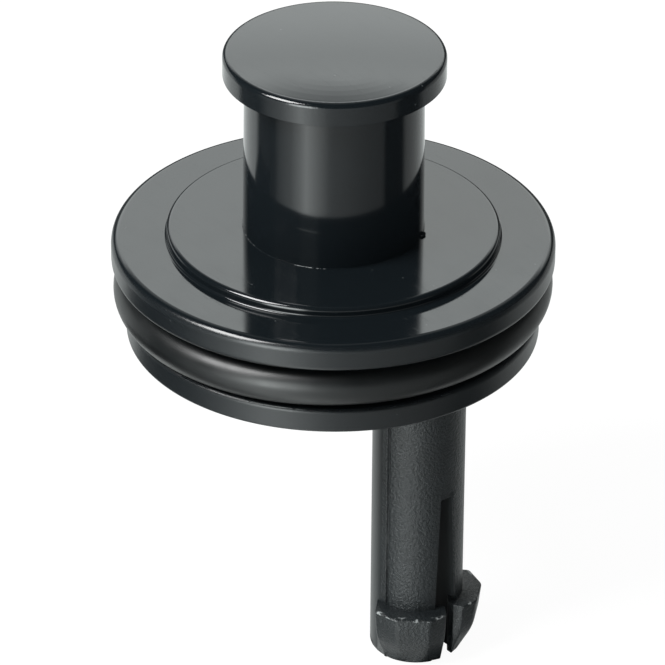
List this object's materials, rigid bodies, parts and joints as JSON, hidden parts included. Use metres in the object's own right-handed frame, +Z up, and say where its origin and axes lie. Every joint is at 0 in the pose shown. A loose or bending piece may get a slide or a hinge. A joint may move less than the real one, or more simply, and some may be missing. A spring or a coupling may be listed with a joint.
{
  "type": "drain stopper",
  "caption": "Round plug with a mushroom knob, a rubber seal ring and an off-centre split snap post that keeps it captive in the drain it closes.",
  "frame": {"origin": "centre of the retaining plate, the plug that enters the drain, at half its thickness", "axes": "+Z up along the plug's axis towards the knob, +X towards the snap post"},
  "size_m": [0.0508, 0.0508, 0.0709],
  "materials": {
    "disc_plastic": "polished moulded black",
    "knob_plastic": "polished moulded black",
    "seal_rubber": "satin black",
    "post_plastic": "spark-textured black",
    "screw_steel": "plain stainless"
  },
  "bodies": {
    "stopper": {"stopper_disc": "disc_plastic", "seal_ring": "seal_rubber", "retaining_plate": "disc_plastic", "knob": "knob_plastic", "pivot_post": "post_plastic", "clamp_screw": "screw_steel", "screw_washer": "screw_steel"},
    "left_finger": {"latch_finger_left": "post_plastic"},
    "right_finger": {"latch_finger_right": "post_plastic"}
  },
  "joints": [
    {"name": "left_finger_flex", "type": "hinge", "parent": "stopper", "child": "left_finger", "pos_m": [0.01575, -0.00093, -0.0146], "axis": [1, 0, 0], "range_deg": [0, 1.3], "stiffness_Nm_per_rad": 6},
    {"name": "right_finger_flex", "type": "hinge", "parent": "stopper", "child": "right_finger", "pos_m": [0.01575, 0.00093, -0.0146], "axis": [-1, 0, 0], "range_deg": [0, 1.3], "stiffness_Nm_per_rad": 6}
  ]
}
